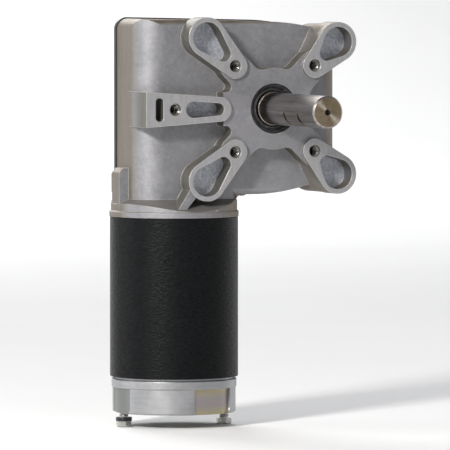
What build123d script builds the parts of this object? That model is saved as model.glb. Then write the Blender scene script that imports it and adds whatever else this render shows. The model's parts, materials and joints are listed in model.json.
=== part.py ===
from build123d import *
from math import acos, atan2, cos, degrees, pi, radians, sin, sqrt, tan
import os

# Right-angle worm-geared dc motor, millimetres.
# Origin: output shaft axis where it crosses the plane of the mounting faces.
# -Y is the way the output shaft points, +Z is up, and the motor hangs below along -Z.

# ---------------------------------------------------------------- driving sizes

# Gear pair and shaft lines
CENTRE_DISTANCE = 50.8
MODULE = 2.05
WORM_STARTS = 2
WHEEL_TEETH = 40
PRESSURE_ANGLE = radians(20)
BACKLASH = 0.6
WHEEL_WIDTH = 16.0
WORM_LENGTH = 52.0
MOTOR_X = -CENTRE_DISTANCE
MOTOR_Y = 35.0

WHEEL_PITCH_R = MODULE * WHEEL_TEETH / 2
WORM_PITCH_R = CENTRE_DISTANCE - WHEEL_PITCH_R
WORM_LEAD = pi * MODULE * WORM_STARTS
LEAD_SLOPE = WORM_LEAD / (2 * pi * WORM_PITCH_R)
ADDENDUM = MODULE
DEDENDUM = 1.25 * MODULE
TOOTH_THICKNESS = (pi * MODULE - BACKLASH) / 2

# Gearbox casting
CASE_LEFT = -82.0
CASE_RIGHT = 47.5
CASE_TOP = 53.4
CASE_BOTTOM = -51.5
CASE_FRONT_Y = 13.0
CASE_BACK_Y = 48.0
CASE_CORNER_R = 6.5
WALL = 3.0
NECK_RIGHT = -19.0
NECK_BOTTOM = -59.5
LEFT_EDGE_R = 17.0
RIGHT_EDGE_R = 16.0
FRONT_EDGE_R = 4.5
NECK_EDGE_R = 4.0
SHOULDER_TOP_Z = -53.5
SHOULDER_REACH = 15.6
SHOULDER_R = 37.6

# Mounting faces: four legs in an X and one pad at the side
HOLE_PITCH = 50.8
HOLE_R = 3.35
HOLE_DEPTH = 14.0
HOLE_SINK = 0.45
LEG_TIP_R = 7.5
LEG_END_R = 11.8
LEG_RIM = 2.8
POCKET_TIP_R = 4.6
POCKET_START = 10.6
POCKET_DEPTH = 12.0
LEFT_LEG_END = (43.3, 42.5)
RIGHT_LEG_END = (40.2, 39.3)
RIGHT_LEG_ROOT = (31.5, 37.5)
RIGHT_LEG_BACK_Y = 23.0
RIGHT_LEG_FLARE_Y = 5.0
PAD_BACK_Y = 31.0
PAD_TIP_X = -35.3
PAD_TIP_R = 7.3
PAD_HALF_HEIGHT = 10.5
PAD_HOLE_X = -63.5
PAD_SLOT_X = -73.7
BOSS_R = 24.2
BOSS_WEB_WIDTH = 18.0
BOSS_CORNER_R = 6.5
BOSS_LEFT_CORNER_R = 3.2
PAD_WEB_HEIGHT = 20.0
PAD_WEB_LENGTH = 16.0
BOSS_FACE_Y = 2.2
GUSSET_FRONT_Y = 1.0

# Output shaft, its bearings and seal
SHAFT_R = 9.525
SHAFT_FRONT_Y = -80.3
SHAFT_BACK_Y = 60.5
JOURNAL_R = 10.0
JOURNAL_FRONT_Y = 2.4
NOTCH_DISTANCES = (37.5, 58.0)
NOTCH_WIDTH = 2.8
NOTCH_FLOOR_R = 7.8
NOTCH_ANGLE = 40
BEARING_R = 21.0
BEARING_WIDTH = 12.0
FRONT_BEARING_Y = 10.2
REAR_BEARING_Y = 49.0
SEAL_R = 14.8
SEAL_FRONT_Y = 2.9
RUNNING_GAP = 0.05
KEY_SIZE = 4.76

# Rear cover
GASKET_BACK_Y = CASE_BACK_Y + 0.5
COVER_BACK_Y = GASKET_BACK_Y + 2.6
COVER_BOSS_R = 26.0
COVER_BOSS_BACK_Y = 64.5
COVER_LIP = 0.7
COVER_SCREWS = [(-75.5, 46.6), (-24.0, 46.8), (33.5, 43.6), (40.5, -35.0), (-8.0, -48.2), (-75.5, -45.5)]
SCREW_R = 2.0
SCREW_BOSS_R = 4.6
SCREW_BOSS_FRONT_Y = 33.0
COVER_LUG_BOTTOM_Z = -50.0

# Motor
TUBE_R = 38.1
TUBE_BORE_R = 35.3
TUBE_TOP_Z = -64.0
TUBE_BOTTOM_Z = -159.2
FLANGE_TOP_Z = -60.5
SPIGOT_DEPTH = 3.5
ARBOR_R = 6.0
ARBOR_TOP_Z = 43.0
ARBOR_BOTTOM_Z = -175.0
SMALL_BEARING_R = 16.0
SMALL_BEARING_WIDTH = 10.0
DRIVE_BEARING_Z = -63.0
BEARING_COLLAR_TOP_Z = -52.4
END_BEARING_Z = -176.0
SPACER_R = 7.5
OIL_SEAL_Z = -53.0
OIL_SEAL_HEIGHT = 5.0
OIL_SEAL_R = 11.0
TOWER_R = 14.0
TOWER_TOP_Z = -42.0
CORE_TOP_Z = -86.0
CORE_BOTTOM_Z = -138.0
CORE_R = 27.8
CORE_SLOTS = 14
WINDING_OVERHANG = 10.0
COMMUTATOR_TOP_Z = -151.0
COMMUTATOR_BOTTOM_Z = -165.0
COMMUTATOR_R = 15.0
MAGNET_IN_R = 28.6
MAGNET_HALF_ANGLE = 31
CAP_TOP_Z = -160.5
CAP_BOTTOM_Z = -180.5
CAP_R = 36.6
CAP_RIM_R = 37.2
CAP_RIM_HEIGHT = 5.0
CAP_CAVITY_R = 32.0
CAP_RECESS_R = 35.0
LEAD_HOLE_R = 4.5
LEAD_HOLE_Z = -172.5
LEAD_HOLE_ANGLE = 69
LEAD_BORE_R = 2.6
CAP_RECESSES = [(46, 92), (157, 203), (268, 314), (337, 383)]
CAP_RECESS_CORNER_R = 3.5
BOLT_CIRCLE_R = 32.0
BOLT_R = 2.5
BOLT_BOSS_WIDTH = 10.4
BOLT_BOSS_DEPTH = 11.6
BOLT_TOP_Z = -48.0
BOLT_HEAD_TOP_Z = -185.3
BOLT_WASHER_HEIGHT = 2.2
BOLT_HEAD_HEIGHT = 3.3
BOLT_HEAD_TURN = 23
BOLT_HEAD_FLATS = 8.0
BRUSH_ANGLES = {"left": 135, "right": 45}
BRUSH_Z = -158.0
BRUSH_WIDTH = 7.0
BRUSH_HEIGHT = 9.0
BRUSH_OUT_R = 24.0
HOLDER_OUT_R = 31.0

# ---------------------------------------------------------------- helpers


def front_prism(outline, front_y, back_y):
    """Prism of a front-view outline (x right, y up) between two depths."""
    back_plane = Plane(origin=(0, back_y, 0), x_dir=(1, 0, 0), z_dir=(0, -1, 0))
    return extrude(back_plane * outline, amount=back_y - front_y)


def top_prism(outline, low_z, high_z):
    """Prism of a plan-view outline between two heights."""
    return extrude(Plane.XY.offset(low_z) * outline, amount=high_z - low_z)


def ring(outer_r, inner_r):
    """Flat ring outline about the local origin."""
    return Circle(outer_r) - Circle(inner_r)


def on_output_axis(solid):
    """Turn a solid made along +Z so that its axis is the output axis, +Z becoming +Y."""
    return Rot(-90, 0, 0) * solid


def on_motor_axis(solid):
    """Move a solid made about +Z onto the motor axis."""
    return Pos(MOTOR_X, MOTOR_Y, 0) * solid


def turned(*points):
    """Solid of revolution about Z from (radius, height) points."""
    return revolve(Plane.XZ * make_face(Polyline(*points, close=True)), Axis.Z)


def teardrop(tip, tip_r, end, end_r):
    """Outline of two circles of different radius and their outer tangents."""
    dx, dy = end[0] - tip[0], end[1] - tip[1]
    heading = atan2(dy, dx)
    spread = acos((tip_r - end_r) / sqrt(dx * dx + dy * dy))

    def on_circle(centre, r, angle):
        return (centre[0] + r * cos(angle), centre[1] + r * sin(angle))

    tip_left, tip_right = on_circle(tip, tip_r, heading + spread), on_circle(tip, tip_r, heading - spread)
    end_left, end_right = on_circle(end, end_r, heading + spread), on_circle(end, end_r, heading - spread)
    outline = Line(tip_left, end_left)
    outline = outline + ThreePointArc(end_left, on_circle(end, end_r, heading), end_right)
    outline = outline + Line(end_right, tip_right)
    outline = outline + ThreePointArc(tip_right, on_circle(tip, tip_r, heading + pi), tip_left)
    return make_face(outline)


def sector(inner_r, outer_r, from_deg, to_deg):
    """Ring sector outline between two angles."""
    reach = 2 * outer_r
    middle = radians((from_deg + to_deg) / 2)
    start, stop = radians(from_deg), radians(to_deg)
    wedge = make_face(
        Polyline(
            (0, 0),
            (reach * cos(start), reach * sin(start)),
            (reach * cos(middle), reach * sin(middle)),
            (reach * cos(stop), reach * sin(stop)),
            close=True,
        )
    )
    return ring(outer_r, inner_r) & wedge


def write(name, shape):
    """Write one named piece, or one group of identical pieces."""
    solids = list(shape.solids())
    piece = solids[0] if len(solids) == 1 else Compound(children=solids)
    piece.label = name
    export_step(piece, "parts/" + name + ".step")


# ---------------------------------------------------------------- gearbox casting


def case_outline(inset=0.0):
    """Front outline of the gear chamber, moved inwards by inset."""
    left, right = CASE_LEFT + inset, CASE_RIGHT - inset
    top, low = CASE_TOP - inset, CASE_BOTTOM + inset
    crown = Spline((0, top - 2.0), (14, top - 2.9), (27, top - 5.1))
    shoulder = Spline((27, top - 5.1), (40, top - 12.5), (right, top - 25.0))
    flank = Line((right, top - 25.0), (right, low + 25.0))
    haunch = Spline((right, low + 25.0), (38.5, low + 11.5), (24, low + 5.0))
    sill = Spline((24, low + 5.0), (10, low + 1.8), (-4, low + 0.4))
    rest = Polyline((-4, low + 0.4), (left, low), (left, top), (0, top - 2.0))
    outline = make_face(crown + shoulder + flank + haunch + sill + rest)
    corner = outline.vertices().sort_by(Axis.Y)[-1]
    return fillet(corner, CASE_CORNER_R - inset)


def depth_limits(inset):
    """Plan of the casting with its rounded front corners, moved inwards by inset."""
    left, right = CASE_LEFT + inset, CASE_RIGHT - inset
    front = CASE_FRONT_Y + inset
    back = CASE_BACK_Y
    plan = make_face(Polyline((left, front), (right, front), (right, back), (left, back), close=True))
    corners = plan.vertices().group_by(Axis.Y)[0].sort_by(Axis.X)
    plan = fillet(corners[0], LEFT_EDGE_R - inset)
    corners = plan.vertices().group_by(Axis.Y)[0].sort_by(Axis.X)
    return fillet(corners[-1], RIGHT_EDGE_R - inset)


def front_limits(inset):
    """Side view of the casting with its rounded top and bottom front edges."""
    front, back = CASE_FRONT_Y + inset, CASE_BACK_Y
    top, low = CASE_TOP - 0.8 - inset, CASE_BOTTOM + inset
    side = make_face(Polyline((front, low), (back, low), (back, top + 2), (front, top), close=True))
    corners = side.vertices().group_by(Axis.X)[0]
    side = fillet(corners, FRONT_EDGE_R if inset == 0 else 1.5)
    plane = Plane(origin=(-100, 0, 0), x_dir=(0, 1, 0), z_dir=(1, 0, 0))
    return extrude(plane * side, amount=200)


def case_block(inset=0.0):
    """Gear chamber block: front outline, plan and side view all at once."""
    block = front_prism(case_outline(inset), CASE_FRONT_Y, CASE_BACK_Y)
    block = block & top_prism(depth_limits(inset), -80, 80)
    return block & front_limits(inset)


def neck_outline(grow=0.0):
    """Plan of the neck with its rounded front corners, moved outwards by grow."""
    left, right = CASE_LEFT - grow, NECK_RIGHT + grow
    front, back = CASE_FRONT_Y - grow, CASE_BACK_Y + grow
    plan = make_face(Polyline((left, front), (right, front), (right, back), (left, back), close=True))
    plan = fillet(plan.vertices().group_by(Axis.Y)[0].sort_by(Axis.X)[0], LEFT_EDGE_R + grow)
    return fillet(plan.vertices().group_by(Axis.Y)[0].sort_by(Axis.X)[-1], NECK_EDGE_R + grow)


def neck_block():
    """Neck between the gear chamber and the motor flange, with a small web under the chamber."""
    neck = top_prism(neck_outline(), NECK_BOTTOM, CASE_BOTTOM + 8)
    web_r = 3.0
    web = Pos(NECK_RIGHT + web_r / 2, CASE_BOTTOM - web_r / 2) * Rectangle(web_r, web_r)
    web = web - Pos(NECK_RIGHT + web_r, CASE_BOTTOM - web_r) * Circle(web_r)
    overlap = 0.5
    return neck + front_prism(web + Pos(0, overlap) * web, CASE_FRONT_Y + 2, CASE_BACK_Y)


def leg_places():
    """Each leg: tapped hole, centre of the big end, and whether it is on the right."""
    half = HOLE_PITCH / 2
    for side in (-1, 1):
        end = RIGHT_LEG_END if side > 0 else LEFT_LEG_END
        for level in (-1, 1):
            yield (side * half, level * half), (side * end[0], level * end[1]), side > 0


def leg(tip, end, is_right):
    """Pieces of a mounting leg before its pocket and hole are cut; the right ones flare into the casting."""
    face = teardrop(tip, LEG_TIP_R, end, LEG_END_R)
    straight = front_prism(face, 0, CASE_FRONT_Y + 2)
    if not is_right:
        return [straight]
    root_end = (RIGHT_LEG_ROOT[0], RIGHT_LEG_ROOT[1] if end[1] > 0 else -RIGHT_LEG_ROOT[1])
    root = teardrop(tip, LEG_TIP_R + 1.0, root_end, LEG_END_R + 0.7)
    front = Plane(origin=(0, 0, 0), x_dir=(1, 0, 0), z_dir=(0, -1, 0))
    flare = loft([front.offset(-RIGHT_LEG_BACK_Y) * root, front.offset(-RIGHT_LEG_FLARE_Y) * face])
    return [straight, flare]


def leg_pocket(tip, end):
    """Blind teardrop pocket between the tapped hole and the big end."""
    dx, dy = end[0] - tip[0], end[1] - tip[1]
    share = POCKET_START / sqrt(dx * dx + dy * dy)
    inner = (tip[0] + dx * share, tip[1] + dy * share)
    outline = teardrop(inner, POCKET_TIP_R, end, LEG_END_R - LEG_RIM)
    return front_prism(outline, -1, POCKET_DEPTH)


def tapped_hole(x, z):
    """Tapped hole with a small countersink, from the mounting face inwards."""
    bore = front_prism(Pos(x, z) * Circle(HOLE_R), -1, HOLE_DEPTH)
    sink = Cone(HOLE_R + HOLE_SINK, HOLE_R, HOLE_SINK, align=(Align.CENTER, Align.CENTER, Align.MIN))
    return bore + Pos(x, 0, z) * on_output_axis(sink)


def side_pad():
    """Flat pad at the side of the casting, square at the left and round at the tip."""
    outline = make_face(
        Polyline(
            (CASE_LEFT, -PAD_HALF_HEIGHT),
            (PAD_TIP_X, -PAD_TIP_R),
            (PAD_TIP_X, PAD_TIP_R),
            (CASE_LEFT, PAD_HALF_HEIGHT),
            close=True,
        )
    )
    return front_prism(outline + Pos(PAD_TIP_X, 0) * Circle(PAD_TIP_R), 0, PAD_BACK_Y)


def side_pad_pockets():
    """Upright slot and tapered pocket of the side pad."""
    slot = Pos(PAD_SLOT_X, 0) * Rot(0, 0, 90) * SlotOverall(14.0, 4.9)
    taper = teardrop((-36.4, 0), 3.6, (-52.0, 0), 4.9)
    return front_prism(slot, -1, POCKET_DEPTH) + front_prism(taper, -1, POCKET_DEPTH)


def centre_plate():
    """Raised round boss around the output shaft, webbed out to the legs and the pad."""
    reach = HOLE_PITCH / sqrt(2)
    plate = Circle(BOSS_R)
    for angle in (45, 135, 225, 315):
        web = Pos(reach / 2, 0) * Rectangle(reach, BOSS_WEB_WIDTH) + Pos(reach, 0) * Circle(BOSS_WEB_WIDTH / 2)
        plate = plate + Rot(0, 0, angle) * web
    plate = plate + Pos(-BOSS_R, 0) * Rectangle(PAD_WEB_LENGTH, PAD_WEB_HEIGHT)
    inner = [corner for corner in plate.vertices() if sqrt(corner.X**2 + corner.Y**2) < BOSS_R + 3]
    left_limit = -BOSS_R * 0.6
    plate = fillet([corner for corner in inner if corner.X < left_limit], BOSS_LEFT_CORNER_R)
    inner = [corner for corner in plate.vertices() if sqrt(corner.X**2 + corner.Y**2) < BOSS_R + 0.1]
    plate = fillet([corner for corner in inner if corner.X > left_limit], BOSS_CORNER_R)
    return front_prism(plate, BOSS_FACE_Y, CASE_FRONT_Y + 2)


def motor_flange():
    """Shoulder, rim and spigot that the motor tube seats against."""
    top, bottom = Plane.XY.offset(SHOULDER_TOP_Z), Plane.XY.offset(FLANGE_TOP_Z)
    shoulder = loft([top * neck_outline(), bottom * neck_outline(SHOULDER_REACH)])
    shoulder = shoulder & on_motor_axis(top_prism(Circle(SHOULDER_R), FLANGE_TOP_Z, SHOULDER_TOP_Z))
    rim = top_prism(Circle(TUBE_R + 0.4), TUBE_TOP_Z, FLANGE_TOP_Z)
    rim = chamfer(rim.edges().group_by(Axis.Z)[-1], 0.6)
    spigot = top_prism(Circle(TUBE_BORE_R - RUNNING_GAP), TUBE_TOP_Z - SPIGOT_DEPTH, TUBE_TOP_Z)
    collar = top_prism(Circle(SMALL_BEARING_R + 3), FLANGE_TOP_Z, BEARING_COLLAR_TOP_Z)
    return shoulder + on_motor_axis(rim + spigot + collar)


def flange_gusset():
    """Slanted rib from the lower left leg down to the flange rim."""
    rib = make_face(Polyline((-54.0, -47.5), (-48.5, -50.0), (-58.0, -61.5), (-63.0, -61.5), close=True))
    return front_prism(rib, GUSSET_FRONT_Y, CASE_FRONT_Y + 2)


def bolt_bosses():
    """Bosses for the two long bolts; the left one shows as a lug on the side wall."""
    left_top, right_top, bottom = -35.0, -45.0, -61.0
    boss = Pos(0, 0, (left_top + bottom) / 2 + 1) * Box(BOLT_BOSS_WIDTH, BOLT_BOSS_DEPTH, left_top - bottom - 2)
    boss = chamfer(boss.edges().filter_by(Axis.Y).group_by(Axis.Z)[-1].sort_by(Axis.X)[0], BOLT_BOSS_WIDTH / 4)
    left = Pos(MOTOR_X - BOLT_CIRCLE_R, MOTOR_Y, 0) * boss
    block = Box(BOLT_BOSS_WIDTH, BOLT_BOSS_DEPTH, right_top - bottom)
    right = Pos(MOTOR_X + BOLT_CIRCLE_R - 2, MOTOR_Y, (right_top + bottom) / 2) * block
    return left, right


def bolt_places():
    """Plan positions of the two long bolts."""
    return [(MOTOR_X - BOLT_CIRCLE_R, MOTOR_Y), (MOTOR_X + BOLT_CIRCLE_R, MOTOR_Y)]


def screw_bosses():
    """Bosses at the back edge of the casting that take the cover screws."""
    circles = [Pos(x, z) * Circle(SCREW_BOSS_R) for x, z in COVER_SCREWS]
    return [front_prism(circle, SCREW_BOSS_FRONT_Y, CASE_BACK_Y) for circle in circles]


def gear_chamber():
    """Hollow of the casting, less the bearing seats and screw pillars that stand in it."""
    hollow = case_block(WALL)
    hollow = hollow - front_prism(Circle(BEARING_R + 4), 0, FRONT_BEARING_Y + BEARING_WIDTH)
    hollow = hollow - on_motor_axis(top_prism(Circle(13), 29, 60))
    hollow = hollow - on_motor_axis(top_prism(Circle(TOWER_R), -70, TOWER_TOP_Z))
    for x, z in COVER_SCREWS:
        hollow = hollow - front_prism(Pos(x, z) * Circle(SCREW_BOSS_R), 0, CASE_BACK_Y)
    for boss in bolt_bosses():
        hollow = hollow - boss
    return hollow


def bearing_and_bolt_holes():
    """Everything bored into the casting for bearings, seals, bush, bolts and screws."""
    holes = front_prism(Circle(SEAL_R), 0, FRONT_BEARING_Y)
    holes = holes + front_prism(Circle(BEARING_R), FRONT_BEARING_Y, FRONT_BEARING_Y + BEARING_WIDTH + 5)
    motor_side = top_prism(Circle(OIL_SEAL_R), OIL_SEAL_Z - 1, OIL_SEAL_Z + OIL_SEAL_HEIGHT)
    motor_side = motor_side + top_prism(Circle(SPACER_R + 1.5), OIL_SEAL_Z, TOWER_TOP_Z + 5)
    bearing_top = DRIVE_BEARING_Z + SMALL_BEARING_WIDTH
    motor_side = motor_side + top_prism(Circle(SMALL_BEARING_R), TUBE_TOP_Z - 5, bearing_top)
    motor_side = motor_side + top_prism(Circle(9), 20, 45.5)
    holes = holes + on_motor_axis(motor_side)
    for x, y in bolt_places():
        holes = holes + Pos(x, y) * top_prism(Circle(BOLT_R + RUNNING_GAP), -70, BOLT_TOP_Z + 3)
    for x, z in COVER_SCREWS:
        holes = holes + front_prism(Pos(x, z) * Circle(SCREW_R + RUNNING_GAP), 34, CASE_BACK_Y)
    return holes


def gear_housing():
    """One-piece casting: gear chamber, legs, pad, motor flange and bearing seats."""
    body = case_block() + neck_block()
    for boss in [*bolt_bosses(), *screw_bosses()]:
        body = body + boss
    body = body + motor_flange() + flange_gusset() + side_pad() + centre_plate()
    for tip, end, is_right in leg_places():
        for piece in leg(tip, end, is_right):
            body = body + piece
    body = body - gear_chamber()
    for tip, end, is_right in leg_places():
        body = body - leg_pocket(tip, end) - tapped_hole(*tip)
    body = body - side_pad_pockets() - tapped_hole(PAD_HOLE_X, 0)
    return body - bearing_and_bolt_holes()


def cover_outline():
    """Outline of the rear cover: the casting's outline with a lip and two screw lugs."""
    plate = case_outline(-COVER_LIP)
    for x, z in COVER_SCREWS:
        plate = plate + Pos(x, z) * Circle(SCREW_BOSS_R + COVER_LIP)
    left, right = CASE_LEFT - 2.4, CASE_LEFT + 4
    lug = make_face(
        Polyline(
            (left, COVER_LUG_BOTTOM_Z),
            (left, COVER_LUG_BOTTOM_Z + 11),
            (CASE_LEFT + 1, COVER_LUG_BOTTOM_Z + 14.5),
            (right, COVER_LUG_BOTTOM_Z + 14.5),
            (right, COVER_LUG_BOTTOM_Z),
            close=True,
        )
    )
    return plate + lug


def gearbox_cover():
    """Black rear cover with the rear bearing seat, ribs and screw holes."""
    cover = front_prism(cover_outline(), GASKET_BACK_Y, COVER_BACK_Y)
    boss = Cone(COVER_BOSS_R + 1.5, COVER_BOSS_R, COVER_BOSS_BACK_Y - GASKET_BACK_Y)
    boss = chamfer(boss.edges().group_by(Axis.Z)[-1], 1.5)
    cover = cover + Pos(0, (COVER_BOSS_BACK_Y + GASKET_BACK_Y) / 2, 0) * on_output_axis(boss)
    rib = Box(16, 6, 3.0, align=(Align.MIN, Align.MIN, Align.CENTER))
    for angle in range(0, 360, 45):
        cover = cover + Rot(0, angle, 0) * Pos(COVER_BOSS_R - 1, COVER_BACK_Y - 1, 0) * rib
    worm_bulge = Pos(MOTOR_X, COVER_BACK_Y - 6, 0) * Cylinder(10, 84)
    worm_bulge = worm_bulge - Pos(0, GASKET_BACK_Y - 50, 0) * Box(400, 100, 400)
    cover = cover + worm_bulge
    cover = cover - front_prism(Circle(BEARING_R), 40, REAR_BEARING_Y + BEARING_WIDTH)
    cover = cover - front_prism(Circle(BEARING_R - 4), 40, REAR_BEARING_Y + BEARING_WIDTH + 1.5)
    for x, z in COVER_SCREWS:
        cover = cover - front_prism(Pos(x, z) * Circle(SCREW_R + RUNNING_GAP), 40, 60)
    return cover


def cover_gasket():
    """Thin gasket between the casting and the cover."""
    gasket = front_prism(case_outline() - case_outline(WALL - 0.2), CASE_BACK_Y, GASKET_BACK_Y)
    for x, z in COVER_SCREWS:
        gasket = gasket + front_prism(Pos(x, z) * Circle(SCREW_BOSS_R - 0.2), CASE_BACK_Y, GASKET_BACK_Y)
    for x, z in COVER_SCREWS:
        gasket = gasket - front_prism(Pos(x, z) * Circle(SCREW_R + RUNNING_GAP), 40, 60)
    return gasket


def cover_screws():
    """Socket-head screws that hold the cover."""
    head = Pos(0, 0, 1.8) * Cylinder(3.6, 3.6) - Pos(0, 0, 2.6) * extrude(RegularPolygon(1.6, 6), 2)
    head = chamfer(head.edges().filter_by(GeomType.CIRCLE).group_by(Axis.Z)[-1], 0.4)
    shank = Pos(0, 0, -7) * Cylinder(SCREW_R, 14)
    screw = on_output_axis(head + shank)
    return Compound([Pos(x, COVER_BACK_Y, z) * screw.solid() for x, z in COVER_SCREWS])


# ---------------------------------------------------------------- ball bearings


def ball_bearing(bore_r, outer_r, width, ball_r, ball_count):
    """Pieces of a deep-groove bearing about Z, its lower face at the origin."""
    pitch_r = (bore_r + outer_r) / 2
    groove = Pos(0, 0, width / 2) * Torus(pitch_r, ball_r + 0.03)
    shoulder = 0.55 * ball_r
    outer = top_prism(ring(outer_r, pitch_r + shoulder), 0, width)
    outer = chamfer(outer.edges().filter_by(GeomType.CIRCLE).sort_by(SortBy.RADIUS)[-2:], 0.6)
    inner = top_prism(ring(pitch_r - shoulder, bore_r), 0, width)
    balls = []
    band = ball_r + 0.9
    cage = top_prism(ring(pitch_r + 1.0, pitch_r - 1.0), width / 2 - band, width / 2 + band)
    for number in range(ball_count):
        place = Pos(0, 0, width / 2) * Rot(0, 0, 360 / ball_count * number) * Pos(pitch_r, 0, 0)
        balls.append(place * Sphere(ball_r).solid())
        cage = cage - place * Rot(0, 90, 0) * Cylinder(ball_r + 0.15, 4)
    return {
        "outer_race": outer - groove,
        "inner_race": inner - groove,
        "balls": Compound(balls),
        "cage": cage,
    }


def write_bearing(name, place, sizes):
    """Write the four pieces of one bearing."""
    for piece, shape in ball_bearing(*sizes).items():
        write(name + "_" + piece, place * shape)


OUTPUT_BEARING = (JOURNAL_R, BEARING_R, BEARING_WIDTH, 3.3, 9)
MOTOR_BEARING = (ARBOR_R, SMALL_BEARING_R, SMALL_BEARING_WIDTH, 2.9, 8)

# ---------------------------------------------------------------- output side


def output_shaft():
    """Steel shaft, thicker inside the gearbox, with two notches, centre holes and a keyway."""
    edge, step = 1.0, 0.25
    shaft = turned(
        (0, SHAFT_FRONT_Y),
        (SHAFT_R - edge, SHAFT_FRONT_Y),
        (SHAFT_R, SHAFT_FRONT_Y + edge),
        (SHAFT_R, JOURNAL_FRONT_Y),
        (JOURNAL_R - step, JOURNAL_FRONT_Y),
        (JOURNAL_R, JOURNAL_FRONT_Y + step),
        (JOURNAL_R, SHAFT_BACK_Y - edge),
        (JOURNAL_R - edge, SHAFT_BACK_Y),
        (0, SHAFT_BACK_Y),
    )
    centre = Cone(0.3, 2.0, 3.2) + Pos(0, 0, -2) * Cylinder(0.9, 5)
    shaft = shaft - Pos(0, 0, SHAFT_BACK_Y - 1.6) * centre
    shaft = on_output_axis(shaft - Pos(0, 0, SHAFT_FRONT_Y + 1.6) * Rot(180, 0, 0) * centre)
    for distance in NOTCH_DISTANCES:
        cutter = Pos(-NOTCH_FLOOR_R - 5, BOSS_FACE_Y - distance, 0) * Box(10, NOTCH_WIDTH, 30)
        shaft = shaft - Rot(0, -NOTCH_ANGLE, 0) * cutter
    return shaft - wheel_key()


def wheel_key():
    """Square key that drives the shaft from the wheel hub."""
    return Pos(0, MOTOR_Y, JOURNAL_R) * Box(KEY_SIZE, 20, KEY_SIZE)


def worm_wheel_hub():
    """Iron hub and web of the worm wheel."""
    front, back = FRONT_BEARING_Y + BEARING_WIDTH, REAR_BEARING_Y
    hub = turned(
        (JOURNAL_R, front),
        (12.6, front),
        (12.6, 26),
        (18, 26),
        (18, 30),
        (34, 30),
        (34, 40),
        (18, 40),
        (18, 44.5),
        (12.6, 44.5),
        (12.6, back),
        (JOURNAL_R, back),
    )
    for angle in range(0, 360, 60):
        hub = hub - Rot(0, 0, angle + 30) * Pos(26, 0, 35) * Cylinder(4.5, 20)
    return on_output_axis(hub) - wheel_key()


def rim_section():
    """Transverse section of the worm wheel rim, tooth gaps facing the worm."""
    tip_r = WHEEL_PITCH_R + ADDENDUM
    root_r = WHEEL_PITCH_R - DEDENDUM
    section = Circle(tip_r)
    pitch_angle = 2 * pi / WHEEL_TEETH
    half_gap = pitch_angle / 2 - TOOTH_THICKNESS / WHEEL_PITCH_R / 2
    gap_points = []
    for r, lift in ((root_r, -DEDENDUM), (WHEEL_PITCH_R, 0), (tip_r + 0.4, ADDENDUM + 0.4)):
        half_width = half_gap * WHEEL_PITCH_R + lift * tan(PRESSURE_ANGLE)
        gap_points.append((r, half_width))
    lower = [(r, -w) for r, w in reversed(gap_points)]
    gap = make_face(Polyline(*gap_points, *lower, close=True))
    for tooth in range(WHEEL_TEETH):
        section = section - Rot(0, 0, 180 + degrees(pitch_angle) * tooth) * gap
    return section


def worm_wheel_rim():
    """Bronze rim with helical teeth, pressed and pinned on the hub."""
    twist = degrees(WHEEL_WIDTH * LEAD_SLOPE / WHEEL_PITCH_R)
    face = Rot(0, 0, -twist / 2) * rim_section()
    rim = Solid.extrude_linear_with_rotation(face.face(), (0, 0, 0), (0, 0, WHEEL_WIDTH), twist)
    rim = Part(rim.wrapped) - Pos(0, 0, WHEEL_WIDTH / 2) * Cylinder(34, WHEEL_WIDTH + 2)
    return Pos(0, MOTOR_Y - WHEEL_WIDTH / 2, 0) * on_output_axis(rim)


def output_seal():
    """Rubber lip seal around the output shaft."""
    bore = JOURNAL_R + RUNNING_GAP
    seal = turned(
        (bore, SEAL_FRONT_Y + 2.2),
        (bore + 0.8, SEAL_FRONT_Y + 0.9),
        (bore + 1.6, SEAL_FRONT_Y + 0.9),
        (bore + 2.2, SEAL_FRONT_Y + 1.6),
        (bore + 3.2, SEAL_FRONT_Y + 0.3),
        (SEAL_R - 0.5, SEAL_FRONT_Y),
        (SEAL_R, SEAL_FRONT_Y + 0.5),
        (SEAL_R, FRONT_BEARING_Y),
        (SEAL_R - 1.6, FRONT_BEARING_Y),
        (SEAL_R - 1.6, SEAL_FRONT_Y + 3),
        (bore + 1.2, SEAL_FRONT_Y + 3),
        (bore + 0.6, SEAL_FRONT_Y + 5.5),
        (bore, SEAL_FRONT_Y + 4.5),
    )
    return on_output_axis(seal)


# ---------------------------------------------------------------- armature side


def worm_section():
    """Section of the worm square to its axis: one lobe for each start."""
    tip_r = WORM_PITCH_R + ADDENDUM
    root_r = WORM_PITCH_R - DEDENDUM
    turn = 2 * pi / WORM_LEAD
    half_pitch_width = TOOTH_THICKNESS / 2
    section = Circle(root_r)
    for start in range(WORM_STARTS):
        flank = []
        for step in range(5):
            r = root_r - 0.3 + (tip_r - root_r + 0.3) * step / 4
            half_width = half_pitch_width - (r - WORM_PITCH_R) * tan(PRESSURE_ANGLE)
            flank.append((r, half_width * turn))
        left = [(r * cos(a), r * sin(a)) for r, a in flank]
        right = [(r * cos(a), -r * sin(a)) for r, a in flank]
        crest = ThreePointArc(left[-1], (tip_r, 0), right[-1])
        base = Polyline(right[0], (0, 0), left[0])
        lobe = make_face(Spline(*left) + crest + Spline(*reversed(right)) + base)
        section = section + Rot(0, 0, 360 / WORM_STARTS * start) * lobe
    return section


def worm():
    """Two-start steel worm, right-handed, pressed on the armature shaft."""
    turns = WORM_LENGTH / WORM_LEAD
    face = Rot(0, 0, -180 * turns) * worm_section()
    thread = Solid.extrude_linear_with_rotation(face.face(), (0, 0, 0), (0, 0, WORM_LENGTH), 360 * turns)
    solid = Pos(0, 0, -WORM_LENGTH / 2) * Part(thread.wrapped) - Cylinder(ARBOR_R, WORM_LENGTH + 2)
    blank = Cylinder(WORM_PITCH_R + ADDENDUM + 1, WORM_LENGTH)
    blank = chamfer(blank.edges().filter_by(GeomType.CIRCLE), 4)
    return on_motor_axis(solid & blank)


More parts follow.
